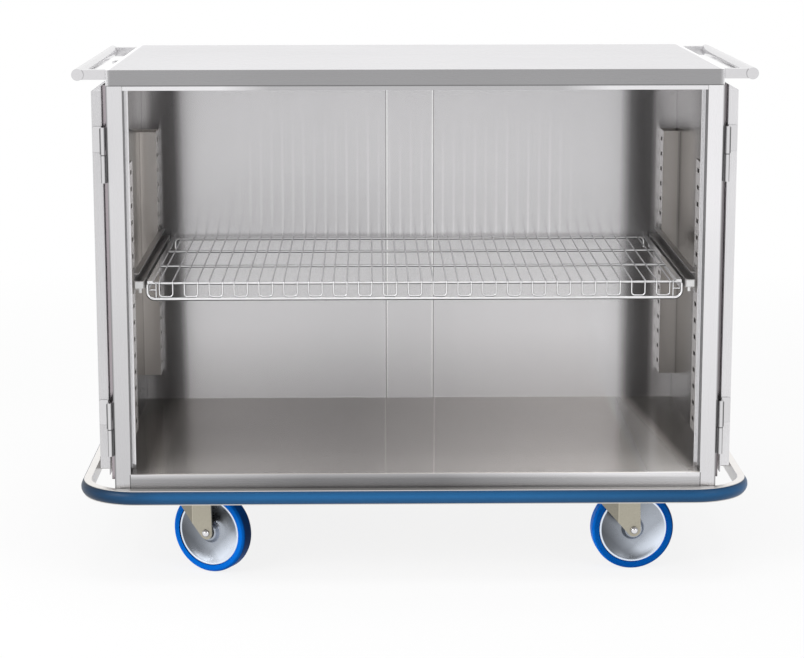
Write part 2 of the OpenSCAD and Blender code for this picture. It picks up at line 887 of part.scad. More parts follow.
module shelf_frame() {
    rod_x = shelf_x - frame_bend;
    color(bright) {
        translate([0, drop_y, frame_rod_z]) bar_x(-rod_x, rod_x, frame_rod_d);
        both_sides() {
            translate([rod_x, drop_y, frame_rod_z + frame_bend]) elbow_down(frame_rod_d, frame_bend);
            translate([shelf_x, drop_y, 0])
                bar_z(frame_rod_z + frame_bend, frame_rod_z + frame_rise, frame_rod_d);
            span([shelf_x - bar_t, bar_y0, bar_top - bar_h], [shelf_x, bar_y1, bar_top]);
            span([bar_x0, bar_y0, bar_top - bar_t], [shelf_x, bar_y1, bar_top]);
        }
    }
}

// Long rods under the wires; the back one has its ends turned down
module shelf_rods() {
    tail_x = bar_x0 + bar_w / 4;
    color(bright) {
        for (share = [rod_places[0], rod_places[1], rod_places[2]])
            translate([0, rod_y0 + share * (rod_y1 - rod_y0), rod_z])
                bar_x(bar_t - shelf_x, shelf_x - bar_t, rod_d);
        translate([0, rod_y1, 0]) {
            translate([0, 0, rod_z]) bar_x(rod_bend - tail_x, tail_x - rod_bend, rod_d);
            both_sides() {
                translate([tail_x - rod_bend, 0, rod_z - rod_bend]) elbow_up(rod_d, rod_bend);
                translate([tail_x, 0, 0]) bar_z(rod_z - rod_tail, rod_z - rod_bend, rod_d);
            }
        }
    }
}

// A wire that runs forward over the rods, drops at the front and comes back
module hairpin() {
    half = hairpin_w / 2;
    both_sides() {
        translate([half, 0, wire_z]) bar_y(rod_y0, rod_y1 + rod_d / 2, wire_d);
        translate([half, rod_y0, rod_z]) rotate([90, 0, -90]) elbow(wire_d, wire_r);
        translate([half, drop_y, 0]) bar_z(drop_z + hairpin_corner, rod_z, wire_d);
        translate([half - hairpin_corner, drop_y, drop_z + hairpin_corner])
            elbow_down(wire_d, hairpin_corner);
    }
    translate([0, drop_y, drop_z]) bar_x(hairpin_corner - half, half - hairpin_corner, wire_d);
}

module shelf_wires() {
    tie_foot = frame_rod_z + frame_rod_d / 2;
    tie_end = shelf_x - frame_rod_d / 2;
    color(bright) {
        for (k = [-side_pins : side_pins]) translate([k * hairpin_pitch, 0, 0]) hairpin();
        both_sides() {
            translate([tie_x, drop_y, 0]) bar_z(tie_foot, wire_z, wire_d);
            translate([0, drop_y, tie_z]) bar_x(tie_x, tie_end, wire_d);
        }
    }
}

module shelf_rails() {
    lid_z = block_z + block_h;
    color(dull) both_sides() {
        difference() {
            span([rail_x0, rail_y0, rail_z0], [rail_x1, rail_y1, rail_z0 + rail_h]);
            span([rail_x0 + slide_t, rail_y0 - eps, rail_z0 + slide_t],
                 [rail_x1 + eps, rail_y1 + eps, rail_z0 + rail_h - slide_t]);
        }
        for (share = boss_places)
            translate([0, bar_y0 + share * (bar_y1 - bar_y0), bar_top - boss_r - boss_drop])
                bar_x(shelf_x, rail_x0 + eps, 2 * boss_r);
        difference() {
            span([rail_x0, rail_y0 - block_front, block_z],
                 [rail_x1 - slide_t, rail_y0 + block_front, lid_z]);
            span([rail_x0 + slide_t, rail_y0 - block_front - eps, block_z - eps],
                 [rail_x1 - 2 * slide_t, rail_y0 + block_front + eps, lid_z - slide_t]);
        }
    }
}

module shelf_blocks() {
    stud_x = rail_x0 + slide_t + 2 * stud_r;
    block_y = rail_y0 - block_front;
    color(nylon) both_sides() {
        span([rail_x0 + slide_t, block_y - block_nose, block_z],
             [rail_x1 - 2 * slide_t, block_y + block_depth, block_z + block_h - slide_t]);
        translate([stud_x, block_y + stud_r, 0]) bar_z(block_z - stud_h, block_z, 2 * stud_r);
    }
}

// Casters: each is drawn at its swivel axis, trailing towards +X, and then turned

module at_caster(x, y, angle) {
    translate([x, y, 0]) rotate(angle) children();
}

module bolt_holes(h) {
    for (x = [-1, 1], y = [-1, 1]) translate([x * bolt_x / 2, y * bolt_y / 2, 0])
        cylinder(h = h, d = bolt_d + 2 * bore_clear);
}

module each_caster() {
    for (x = [-caster_x, caster_x], y = [-caster_y, caster_y]) translate([x, y, 0]) children();
}

module caster_plates() {
    color(dull) each_caster() difference() {
        union() {
            translate([0, 0, plate_z]) linear_extrude(plate_t)
                round_rect(plate_l, plate_w, plate_corner);
            bar_z(raceway_z, plate_z + eps, raceway_d);
        }
        bar_z(raceway_z - eps, caster_h + eps, kingpin_d + 2 * bore_clear);
        translate([0, 0, plate_z - eps]) bolt_holes(plate_t + 2 * eps);
    }
}

module caster_bolts() {
    hex_d = bolt_flats / cos(30);
    nut_z = caster_h + channel_t;
    color(bright) each_caster() for (x = [-1, 1], y = [-1, 1])
        translate([x * bolt_x / 2, y * bolt_y / 2, 0]) {
            bar_z(plate_z - eps, nut_z + bolt_nut_h + bolt_end, bolt_d);
            translate([0, 0, plate_z - bolt_head_h]) cylinder(h = bolt_head_h, d = hex_d, $fn = 6);
            translate([0, 0, nut_z]) cylinder(h = bolt_nut_h, d = hex_d, $fn = 6);
        }
}

// Where the line from a point touches a circle, on its left (1) or its right (-1)
function touch_point(p, c, r, side) =
    let (d = p - c, dist = norm(d), turn = atan2(d[1], d[0]) + side * acos(r / dist))
    c + r * [cos(turn), sin(turn)];

// Side view of a fork leg: square at the crown, slanting to a round foot at the axle
module leg_outline() {
    foot = [trail, axle_z];
    back_corner = [fork_x0, crown_top - wing_drop];
    front_corner = [fork_x1, crown_top];
    polygon([
        [fork_x0, crown_top], back_corner,
        touch_point(back_corner, foot, fork_foot, 1), foot,
        touch_point(front_corner, foot, fork_foot, -1), front_corner
    ]);
    translate(foot) circle(fork_foot);
}

// Top view of a fork leg: straight, with its leading edge folded in
module leg_plan() {
    fold = fork_x0 + wing_w;
    far = trail + fork_foot;
    polygon([
        [fork_x0, leg_y - wing_lean], [fold, leg_y], [far, leg_y], [far, leg_y + fork_t],
        [fold, leg_y + fork_t], [fork_x0, leg_y + fork_t - wing_lean]
    ]);
}

// Top view of the crown: the space between the legs, and a disc under the raceway
module crown_plan() {
    fold = fork_x0 + wing_w;
    inner = leg_y + eps;
    polygon([
        [fork_x0, wing_lean - inner], [fold, -inner], [fork_x1, -inner],
        [fork_x1, inner], [fold, inner], [fork_x0, inner - wing_lean]
    ]);
    circle(d = raceway_d);
}

module fork() {
    color(dull) difference() {
        union() {
            front_and_back() intersection() {
                rotate([90, 0, 0]) linear_extrude(4 * fork_gap, center = true) leg_outline();
                linear_extrude(crown_top) leg_plan();
            }
            translate([0, 0, crown_z]) linear_extrude(crown_t) crown_plan();
            bar_z(crown_z, caster_h - seat_gap, kingpin_d);
        }
        translate([trail, 0, axle_z])
            bar_y(-leg_y - 2 * fork_t, leg_y + 2 * fork_t, axle_d + 2 * bore_clear);
    }
}

// Axle bolt with its domed head, the sleeve between the legs and the nut
module axle() {
    leg_face = leg_y + fork_t;
    color(bright) translate([trail, 0, axle_z]) {
        bar_y(-leg_face - eps, leg_face + axle_nut_h + axle_end, axle_d);
        bar_y(-leg_y, leg_y, sleeve_d);
        intersection() {
            translate([0, -leg_face, 0]) sphere(axle_head_r);
            span([-2 * axle_head_r, -leg_face - axle_head_r, -axle_head_r],
                 [2 * axle_head_r, -leg_face, axle_head_r]);
        }
        translate([0, leg_face, 0]) rotate([-90, 0, 0])
            cylinder(h = axle_nut_h, d = axle_nut_flats / cos(30), $fn = 6);
    }
}

// A wheel section is drawn with x as the radius and y along the axle
module at_wheel() {
    translate([trail, 0, axle_z]) rotate([-90, 0, 0]) rotate_extrude($fn = 96) children();
}

// Pressed rim: a cone at the hub, a dish round it and a raised lip under the tyre
module rim() {
    rim_half = tread_w / 2 - rim_inset;
    hub_half = hub_l / 2;
    hub_r = hub_d / 2;
    cone_r = hub_r + hub_bevel + cone_w;
    lip_r0 = rim_r - rim_lip;
    half_profile = [
        [hub_r, hub_half], [hub_r + hub_bevel, hub_half - hub_round],
        [cone_r, dish_half + cone_foot], [cone_r + dish_w, dish_half],
        [rim_r - wall_w, dish_half + wall_foot], [lip_r0 - lip_fall, rim_half - lip_fall],
        [lip_r0, rim_half], [rim_r, rim_half]
    ];
    last = len(half_profile) - 1;
    far_half = [for (i = [last : -1 : 0]) [half_profile[i][0], -half_profile[i][1]]];
    color(bright) at_wheel() difference() {
        polygon(concat([[0, hub_half]], half_profile, far_half, [[0, -hub_half]]));
        translate([-eps, -hub_l]) square([sleeve_d / 2 + bore_clear + eps, 2 * hub_l]);
    }
}

module tyre() {
    tread_r = wheel_d / 2;
    shoulder = tread_w / 2 - tyre_shoulder;
    color(wheel_blue) at_wheel() {
        translate([rim_r, -tread_w / 2]) square([tyre_t - tyre_shoulder, tread_w]);
        translate([rim_r, -shoulder]) square([tyre_t, 2 * shoulder]);
        for (y = [-shoulder, shoulder]) translate([tread_r - tyre_shoulder, y]) circle(tyre_shoulder);
    }
}

top_panel();
header_rail();
front_post(-1);  // front_post_left
front_post(1);  // front_post_right
sills();
side_panel(-1);  // side_panel_left
side_panel(1);  // side_panel_right
back_panel();
back_cover_strip();
floor_panel();
pilasters();
door_stops();
bumper_channel();
bumper_insert();
base_rails();
cross_beams();
caster_channels();
push_handle(-1);  // push_handle_left
push_handle(1);  // push_handle_right
handle_caps();
frame_hinge_leaves();
hinge_pins();
hinge_screws();
door_holders();
slide_channel(-1);  // slide_channel_left
slide_channel(1);  // slide_channel_right
caster_plates();
caster_bolts();
door_skin(-1);  // door_skin_left
door_pan(-1);  // door_pan_left
door_hinge_leaves(-1);  // door_hinge_leaves_left
door_pull(-1);  // door_pull_left
door_screws(-1);  // door_screws_left
door_skin(1);  // door_skin_right
door_pan(1);  // door_pan_right
door_hinge_leaves(1);  // door_hinge_leaves_right
door_pull(1);  // door_pull_right
door_screws(1);  // door_screws_right
shelf_frame();
shelf_rods();
shelf_wires();
shelf_rails();
shelf_blocks();
at_caster(-caster_x, -caster_y, swivel_fl) fork();  // fork_fl
at_caster(-caster_x, -caster_y, swivel_fl) axle();  // axle_fl
at_caster(-caster_x, -caster_y, swivel_fl) rim();  // rim_fl
at_caster(-caster_x, -caster_y, swivel_fl) tyre();  // tyre_fl
at_caster(caster_x, -caster_y, swivel_fr) fork();  // fork_fr
at_caster(caster_x, -caster_y, swivel_fr) axle();  // axle_fr
at_caster(caster_x, -caster_y, swivel_fr) rim();  // rim_fr
at_caster(caster_x, -caster_y, swivel_fr) tyre();  // tyre_fr
at_caster(-caster_x, caster_y, swivel_rl) fork();  // fork_rl
at_caster(-caster_x, caster_y, swivel_rl) axle();  // axle_rl
at_caster(-caster_x, caster_y, swivel_rl) rim();  // rim_rl
at_caster(-caster_x, caster_y, swivel_rl) tyre();  // tyre_rl
at_caster(caster_x, caster_y, swivel_rr) fork();  // fork_rr
at_caster(caster_x, caster_y, swivel_rr) axle();  // axle_rr
at_caster(caster_x, caster_y, swivel_rr) rim();  // rim_rr
at_caster(caster_x, caster_y, swivel_rr) tyre();  // tyre_rr
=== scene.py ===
"""The looks of the case cart: stainless finishes, small fittings, camera, lamps and floor."""
import json
import math

import bmesh
import bpy
from mathutils import Matrix, Vector


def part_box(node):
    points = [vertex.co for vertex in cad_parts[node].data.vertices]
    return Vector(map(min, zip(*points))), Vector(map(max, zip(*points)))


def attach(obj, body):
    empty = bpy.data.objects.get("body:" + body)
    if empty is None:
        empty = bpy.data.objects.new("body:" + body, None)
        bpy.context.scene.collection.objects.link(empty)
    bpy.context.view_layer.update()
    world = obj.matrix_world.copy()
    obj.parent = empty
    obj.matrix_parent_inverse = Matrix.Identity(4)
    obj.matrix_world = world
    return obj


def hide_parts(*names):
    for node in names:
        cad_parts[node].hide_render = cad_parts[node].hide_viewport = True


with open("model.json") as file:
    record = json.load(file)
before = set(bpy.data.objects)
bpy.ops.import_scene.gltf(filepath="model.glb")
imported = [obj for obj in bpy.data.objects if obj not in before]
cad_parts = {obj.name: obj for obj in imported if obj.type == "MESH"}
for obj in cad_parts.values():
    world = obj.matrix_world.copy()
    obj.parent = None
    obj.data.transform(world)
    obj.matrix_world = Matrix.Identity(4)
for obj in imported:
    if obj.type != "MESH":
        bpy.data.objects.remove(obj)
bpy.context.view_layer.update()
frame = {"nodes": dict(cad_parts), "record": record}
nodes = frame["nodes"]
joints = {j["name"]: j for j in frame["record"]["behaviour"]["joints"]}

CORNERS = ("fl", "fr", "rl", "rr")

# The photograph's width, in pixels
PHOTO_W = 804

# The photograph's camera, fitted to the cabinet's edges
TOP_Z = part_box("top_panel")[1][2]
FLOOR_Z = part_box("floor_panel")[1][2]
CAMERA_AT = Vector((-0.0846, -4.6274, TOP_Z + 0.3413))
CAMERA_FOCAL_PX = 2328.3
CAMERA_PITCH = math.radians(10.899)
CAMERA_YAW = math.radians(0.784)
CAMERA_ROLL = math.radians(-0.066)
SENSOR_MM = 36.0


# Shader helpers

def new_material(name):
    """A fresh material and its node tree, with only the output in it."""
    mat = bpy.data.materials.new(name)
    mat.use_nodes = True
    tree = mat.node_tree
    tree.nodes.clear()
    out = tree.nodes.new("ShaderNodeOutputMaterial")
    return mat, tree, out


def add(tree, kind, **settings):
    """A node of this kind; settings with a capital first letter are input values."""
    node = tree.nodes.new(kind)
    for key, value in settings.items():
        if key[0].isupper():
            node.inputs[key.replace("_", " ")].default_value = value
        else:
            setattr(node, key, value)
    return node


def math_node(tree, operation, *values):
    """A Math node over numbers or sockets, and its output."""
    node = add(tree, "ShaderNodeMath", operation=operation)
    for socket, value in zip(node.inputs, values):
        if isinstance(value, (int, float)):
            socket.default_value = value
        else:
            tree.links.new(value, socket)
    return node.outputs["Value"]


def spread(tree, source, low, high, to_low, to_high):
    """Source mapped from low..high onto to_low..to_high, held at the ends."""
    node = add(tree, "ShaderNodeMapRange", From_Min=low, From_Max=high,
               To_Min=to_low, To_Max=to_high)
    tree.links.new(source, node.inputs["Value"])
    return node.outputs["Result"]


def stretched_noise(tree, scale, detail=3.0):
    """Noise in the object's own coordinates, scaled apart along X, Y and Z."""
    coords = add(tree, "ShaderNodeTexCoord")
    mapping = add(tree, "ShaderNodeMapping", Scale=scale)
    noise = add(tree, "ShaderNodeTexNoise", Scale=1.0, Detail=detail)
    tree.links.new(coords.outputs["Object"], mapping.inputs["Vector"])
    tree.links.new(mapping.outputs["Vector"], noise.inputs["Vector"])
    return noise.outputs["Fac"]


def tinted(tree, color, tone, socket):
    """Links color, dimmed by the tone, to a colour socket."""
    scale = add(tree, "ShaderNodeVectorMath", operation="SCALE")
    scale.inputs[0].default_value = color
    tree.links.new(tone, scale.inputs["Scale"])
    tree.links.new(scale.outputs["Vector"], socket)


def painted_crevice_shade(tree, reach, depth):
    """Painted shade: 1 on open faces, falling by depth in seams and inside corners within reach."""
    shade = add(tree, "ShaderNodeAmbientOcclusion", samples=6, only_local=False, Distance=reach)
    return spread(tree, shade.outputs["AO"], *OPEN_SKY, 1 - depth, 1.0)


def grain_scale(grain, along, across):
    """A noise's scale along the grain and across it."""
    return tuple(along if axis == grain else across for axis in "xyz")


GRAIN_AXIS = {"x": (1, 0, 0), "y": (0, 1, 0), "z": (0, 0, 1)}
# Scales of the streaks along and across the grain, and of the clouds
FINE_STREAKS = (3, 900)
BROAD_STREAKS_ALONG = 1.5
CLOUDS = (4, 4, 4)
CLOUD_TONE = 0.965
# The parts of a noise's range that tone and gloss follow
NOISE_TONES = (0.3, 0.7)
NOISE_GLOSS = (0.2, 0.8)
# How open a seam and a free face are, and how far the painted crevice shade reaches
OPEN_SKY = (0.25, 0.85)
SEAM_REACH, WIDE_REACH = 0.003, 0.02
BUMP_DEPTH = 0.0002
# Keeps the tangent off zero where a face lies across its grain
OFF_ZERO = (0.001, 0.002, 0.003)


def steel(name, grey, grain, rough=0.2, aniso=0.5, contrast=0.02, tint=(1.0, 0.99, 1.01),
          crevice_shade=0.6, shade=None, streaks=None, pitch=160, blur=None, metallic=1.0,
          bumps=0.012, vary=0.07, metal_low=None, edge=None):
    """Stainless sheet: streaks along its grain in tone and gloss, painted shade in seams, any
    painted light and shade it is given, a spread gloss.
    """
    mat, tree, out = new_material(name)
    bsdf = add(tree, "ShaderNodeBsdfPrincipled", Metallic=metallic, Anisotropic=aniso)
    fine = stretched_noise(tree, grain_scale(streaks or grain, *FINE_STREAKS))
    broad = stretched_noise(tree, grain_scale(streaks or grain, BROAD_STREAKS_ALONG, pitch))
    clouds = stretched_noise(tree, CLOUDS)

    tone = product(tree, spread(tree, fine, *NOISE_TONES, 1 - contrast, 1.0),
                   spread(tree, broad, *NOISE_TONES, 1 - contrast, 1.0),
                   spread(tree, clouds, *NOISE_TONES, CLOUD_TONE, 1.0))
    # Painted shade in seams and inside corners, then the place's painted light and shade
    if crevice_shade:
        tone = product(tree, tone, painted_crevice_shade(tree, SEAM_REACH, crevice_shade))
    if shade:
        tone = product(tree, tone, shade(tree))
    tinted(tree, tuple(grey * t for t in tint), tone, bsdf.inputs["Base Color"])
    tree.links.new(spread(tree, fine, *NOISE_GLOSS, rough - vary / 2, rough + vary / 2),
                   bsdf.inputs["Roughness"])
    # Painted reflection, set as the specular tint
    if edge:
        tree.links.new(edge(tree), bsdf.inputs["Specular Tint"])
    if metal_low is not None:
        tree.links.new(spread(tree, place(tree)[2], *METAL_RISE, metal_low, metallic),
                       bsdf.inputs["Metallic"])

    bump = add(tree, "ShaderNodeBump", Strength=bumps, Distance=BUMP_DEPTH)
    tree.links.new(fine, bump.inputs["Height"])
    tree.links.new(bump.outputs["Normal"], bsdf.inputs["Normal"])

    # The gloss spreads across the grain, so the tangent lies across it in the face
    tangent = add(tree, "ShaderNodeVectorMath", operation="ADD")
    tangent.inputs[1].default_value = OFF_ZERO
    if blur:
        tangent.inputs[0].default_value = GRAIN_AXIS[blur]
    else:
        face = add(tree, "ShaderNodeNewGeometry")
        across = add(tree, "ShaderNodeVectorMath", operation="CROSS_PRODUCT")
        across.inputs[1].default_value = GRAIN_AXIS[grain]
        tree.links.new(face.outputs["Normal"], across.inputs[0])
        tree.links.new(across.outputs["Vector"], tangent.inputs[0])
    tree.links.new(tangent.outputs["Vector"], bsdf.inputs["Tangent"])
    tree.links.new(bsdf.outputs["BSDF"], out.inputs["Surface"])
    return mat


def plain(name, color, rough, metallic=0.0, speckle=0.06, scale=400, level=0.5, crevice_shade=0.0,
          shade=None):
    """A surface with fine mottling in tone and gloss, and any painted crevice shade and painted
    light and shade it is given.
    """
    mat, tree, out = new_material(name)
    bsdf = add(tree, "ShaderNodeBsdfPrincipled", Metallic=metallic)
    bsdf.inputs["Specular IOR Level"].default_value = level
    spots = stretched_noise(tree, (scale, scale, scale))
    tone = spread(tree, spots, *NOISE_TONES, 1 - speckle, 1.0)
    # Painted shade in seams and inside corners, then the place's painted light and shade
    if crevice_shade:
        tone = product(tree, tone, painted_crevice_shade(tree, WIDE_REACH, crevice_shade))
    if shade:
        tone = product(tree, tone, shade(tree))
    tinted(tree, color, tone, bsdf.inputs["Base Color"])
    tree.links.new(spread(tree, spots, *NOISE_GLOSS, rough - 0.04, rough + 0.05),
                   bsdf.inputs["Roughness"])
    bump = add(tree, "ShaderNodeBump", Strength=0.05, Distance=BUMP_DEPTH)
    tree.links.new(spots, bump.inputs["Height"])
    tree.links.new(bump.outputs["Normal"], bsdf.inputs["Normal"])
    tree.links.new(bsdf.outputs["BSDF"], out.inputs["Surface"])
    return mat


# Painted light and shade that belong to a place on the cart, in its own coordinates

# A normal's part along an axis, from faces turned against it to the rest and the other way
AGAINST = (-0.9, -0.5)
ALONG = (0.5, 0.9)


def place(tree):
    """The point's X, Y and Z in the object's own coordinates."""
    coords = add(tree, "ShaderNodeTexCoord")
    parts = add(tree, "ShaderNodeSeparateXYZ")
    tree.links.new(coords.outputs["Object"], parts.inputs["Vector"])
    return parts.outputs["X"], parts.outputs["Y"], parts.outputs["Z"]


def facing(tree):
    """The X, Y and Z of the face's own normal."""
    coords = add(tree, "ShaderNodeTexCoord")
    parts = add(tree, "ShaderNodeSeparateXYZ")
    tree.links.new(coords.outputs["Normal"], parts.inputs["Vector"])
    return parts.outputs["X"], parts.outputs["Y"], parts.outputs["Z"]


def unsigned(tree, value):
    """The value without its sign."""
    return math_node(tree, "ABSOLUTE", value)


def minus(tree, first, second):
    """The first less the second."""
    return math_node(tree, "SUBTRACT", first, second)


def below(tree, value, limit):
    """1 where the value is less than the limit, 0 elsewhere."""
    return math_node(tree, "LESS_THAN", value, limit)


def above(tree, value, limit):
    """1 where the value is greater than the limit, 0 elsewhere."""
    return math_node(tree, "GREATER_THAN", value, limit)


def product(tree, *tones):
    """The tones, each on top of the others."""
    result = tones[0]
    for tone in tones[1:]:
        result = math_node(tree, "MULTIPLY", result, tone)
    return result


def line(tree, source, at, half, tone):
    """1 everywhere but for a line of the tone where source is near at."""
    return spread(tree, unsigned(tree, minus(tree, source, at)), half * 0.5, half * 1.3, tone, 1.0)


def within(tree, share, tone):
    """The tone where share is 1, and 1 where it is 0."""
    return math_node(tree, "ADD", 1.0, product(tree, share, minus(tree, tone, 1.0)))


def at_front(tree, ny):
    """1 on faces towards the cart's front, 0 on the rest."""
    return spread(tree, ny, *AGAINST, 1.0, 0.0)


def at_hinges(tree, z):
    """1 at the heights of the hinge barrels, 0 elsewhere."""
    levels = [below(tree, unsigned(tree, minus(tree, z, mid)), HINGE_TALL) for mid in HINGE_Z]
    return math_node(tree, "MAXIMUM", *levels)


def by_side(tree, x, left, right):
    """One tone on the cart's left half and another on its right half."""
    return spread(tree, x, -0.001, 0.001, left, right)


# Places that the painted light and shade keep to, in metres on the cart, mostly pairs from one tone
# to another

METAL_RISE = (FLOOR_Z, FLOOR_Z + 0.35)

SHELF_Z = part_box("shelf_rods")[1][2]
# Painted reflections of the deck wires, on the back and the floor
GLEAM_TALL = 0.28
GLEAM_PITCH = 0.0229
GLEAM_START = 0.341 + 20 * GLEAM_PITCH
GLEAM_ENDS = (0.28, 0.38)
GLEAM_HALF = (0.0008, 0.0036)
GLEAM_CHANGE = (28, 0, 0)

STRIP_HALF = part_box("back_cover_strip")[1][0]
# Painted reflections, painted light and a painted shade line on the back panel's inside
BACK_LEFT_END = (-0.4846, -0.4946)
BACK_LEFT_FADE = (-0.010, 0.008)
BACK_RIGHT_END = (0.450, 0.474)
BACK_RIGHT_CORNER = (0.516, 0.528)
BACK_LEFT_CORNER = (-0.560, -0.548)
BACK_SEAM_FOOT = (FLOOR_Z + 0.0015, FLOOR_Z + 0.003)
BACK_LOW = (FLOOR_Z + 0.15, FLOOR_Z + 0.35)
BACK_MIDDLE = (0.08, 0.35)
BACK_LEFT_HALF = (-0.1, 0.05)

# Painted light, shade and reflections on the end walls and pilasters
PILASTER_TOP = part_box("pilasters")[1][2]
PILASTER_FACE = (0.535, 0.566)
PILASTER_SEAM = 0.5664
FRONT_PILASTERS, REAR_PILASTERS = -0.2, 0.2
WALL_REAR = (0.18, 0.21)
WALL_END, MIRROR_LEAN = 0.27, 0.135
WALL_MIDDLE = (0.42, 0.55)
WALL_RISE = (FLOOR_Z, FLOOR_Z + 0.45)
WALL_FOOT = (FLOOR_Z + 0.002, FLOOR_Z + 0.0045)
SHELF_BAND = (SHELF_Z - 0.05, SHELF_Z + 0.05)

# Painted reflections and painted light on the floor panel
FLOOR_LONG = (-0.32, 0.33)
FLOOR_DIM_FROM = (0.528, 0.468)
FLOOR_LEFT_DIM = (-0.520, -0.488)
FLOOR_SWEEP, FLOOR_LEFT_SWEEP = (-0.1, 0.5), (-0.45, -0.15)
FLOOR_RIGHT_GLOW = (0.42, 0.47)
FLOOR_GLEAM = (-0.34, -0.05)
STRIP_IMAGES = ((0.0064, -0.0551), (0.0278, 0.0439))

HEADER_ENDS = (0.27, 0.36)
TOP_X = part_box("top_panel")[1][0]
TOP_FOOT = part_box("top_panel")[0][2]
POST_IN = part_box("front_post_right")[0][0]
POST_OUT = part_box("front_post_right")[1][0]
POST_RISE = (FLOOR_Z, FLOOR_Z + 0.5)
SILL_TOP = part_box("sills")[1][2]
SILL_LEFT, SILL_RIGHT = (-0.55, -0.2), (0.05, 0.5)
BUMPER_Z0, BUMPER_Z1 = (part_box("bumper_insert")[k][2] for k in (0, 1))
BUMPER_MID_X, BUMPER_ENDS = -0.05, (0.25, 0.55)
BUMPER_LEFT_END = (-0.63, -0.48)

HINGE_X, HINGE_Y = 0.578, -0.3365
HINGE_Z = (FLOOR_Z + 0.088, TOP_Z - 0.1565)
HINGE_TALL = 0.0515
BARREL_R = 0.0050
BARREL_SHADOW_OFF = 0.0054


def shelf_light(tree, z):
    """How strong the wires' painted lights are on the back: most just above the shelf, none below
    it.
    """
    return product(tree, spread(tree, z, SHELF_Z, SHELF_Z + GLEAM_TALL, 0.20, 0.0),
                   above(tree, z, SHELF_Z))


def wire_gleam(tree, x, fade):
    """Painted reflections: soft upright lights below the deck wires' mirror images, as strong as
    fade.
    """
    off = math_node(tree, "PINGPONG", math_node(tree, "ADD", x, GLEAM_START), GLEAM_PITCH / 2)
    middle = spread(tree, unsigned(tree, x), *GLEAM_ENDS, 1.0, 0.0)
    peak = spread(tree, off, *GLEAM_HALF, 1.0, 0.0)
    uneven = spread(tree, stretched_noise(tree, GLEAM_CHANGE, 1.0), 0.35, 0.65, 0.3, 1.0)
    return math_node(tree, "ADD", 1.0, product(tree, peak, middle, fade, uneven))


def back_light(tree, x, z):
    """Painted light: the back grows lighter towards the floor, and its left half is dimmer over the
    shelf.
    """
    low = spread(tree, z, *BACK_LOW, 1.0, 0.0)
    more = spread(tree, unsigned(tree, x), *BACK_MIDDLE, 0.16, 0.25)
    over_shelf = product(tree, spread(tree, x, *BACK_LEFT_HALF, 1.0, 0.0), shelf_light(tree, z))
    lighter = math_node(tree, "ADD", 1.0, product(tree, low, more))
    return minus(tree, lighter, product(tree, over_shelf, 0.4))


def back_painted_light(tree):
    """Inside, the back: a painted shade line by the strip, painted reflections at its ends and
    corners, painted lights, a painted highlight at its foot.
    """
    x, _, z = place(tree)
    left_end = spread(tree, z, FLOOR_Z, TOP_Z - 0.1, *BACK_LEFT_END)
    inside = product(tree, line(tree, unsigned(tree, x), STRIP_HALF + 0.0010, 0.0010, 0.6),
                     spread(tree, minus(tree, x, left_end), *BACK_LEFT_FADE, 0.5, 1.0),
                     spread(tree, x, *BACK_RIGHT_END, 1.0, 0.5),
                     spread(tree, x, *BACK_RIGHT_CORNER, 1.0, 2.0),
                     spread(tree, x, *BACK_LEFT_CORNER, 1.4, 1.0),
                     wire_gleam(tree, x, shelf_light(tree, z)),
                     back_light(tree, x, z),
                     spread(tree, z, *BACK_SEAM_FOOT, 1.2, 1.0))
    front = at_front(tree, facing(tree)[1])
    outside = spread(tree, front, 0.0, 1.0, -0.22, 0.0)
    return math_node(tree, "ADD", within(tree, front, inside), outside)


def strip_painted_light(tree):
    """Painted highlights along the cover strip's bent edges, with the back's painted lights."""
    x, _, z = place(tree)
    inside = product(tree, line(tree, unsigned(tree, x), STRIP_HALF - 0.0007, 0.0019, 1.7),
                     wire_gleam(tree, x, shelf_light(tree, z)),
                     back_light(tree, x, z))
    return within(tree, at_front(tree, facing(tree)[1]), inside)


def wall_painted_reflection(tree):
    """Painted reflection in the end walls' specular tint, for what a flat look along an end wall
    sees in it: dimmer between the pilasters.
    """
    x, y, z = place(tree)
    mirrored = product(tree, minus(tree, WALL_END, y), MIRROR_LEAN)
    under_top = below(tree, minus(tree, z, mirrored), PILASTER_TOP)
    between = product(tree, spread(tree, z, *WALL_MIDDLE, 0.0, 1.0), under_top)
    left_tone = spread(tree, y, *WALL_REAR, 0.5, 0.85)
    dimmer = product(tree, within(tree, below(tree, x, 0.0), left_tone),
                     by_side(tree, x, 1.0, 0.78))
    return product(tree, within(tree, between, dimmer),
                   within(tree, under_top, by_side(tree, x, 0.74, 1.04)))


def wall_shade(left_tone, right_tone):
    """End walls and pilasters, with painted light and shade: dimmer towards the floor and in front;
    even on rear pilasters; outer faces painted lighter.
    """
    def shade(tree):
        x, y, z = place(tree)
        nx, ny, _ = facing(tree)
        out = unsigned(tree, x)
        # Along the pilasters' seam, a painted highlight on the left and painted shade on the right
        seam = within(tree, above(tree, out, PILASTER_SEAM), by_side(tree, x, 1.15, 0.75))
        even = product(tree, spread(tree, out, *PILASTER_FACE, 1.42, 0.87), seam)
        rear = product(tree, at_front(tree, ny), above(tree, y, REAR_PILASTERS),
                       spread(tree, z, *SHELF_BAND, 0.3, 1.0))
        inside = product(tree, spread(tree, z, *WALL_RISE, 0.60, 1.0),
                         by_side(tree, x, left_tone, right_tone),
                         within(tree, rear, even),
                         within(tree, below(tree, y, FRONT_PILASTERS), 0.75),
                         spread(tree, z, *WALL_FOOT, 2.0, 1.0))
        # Painted light on the outer faces
        outward = product(tree, nx, math_node(tree, "SIGN", x))
        outside = product(tree, spread(tree, outward, *ALONG, 0.0, 1.0), 1.7)
        return math_node(tree, "MAXIMUM", inside, outside)
    return shade


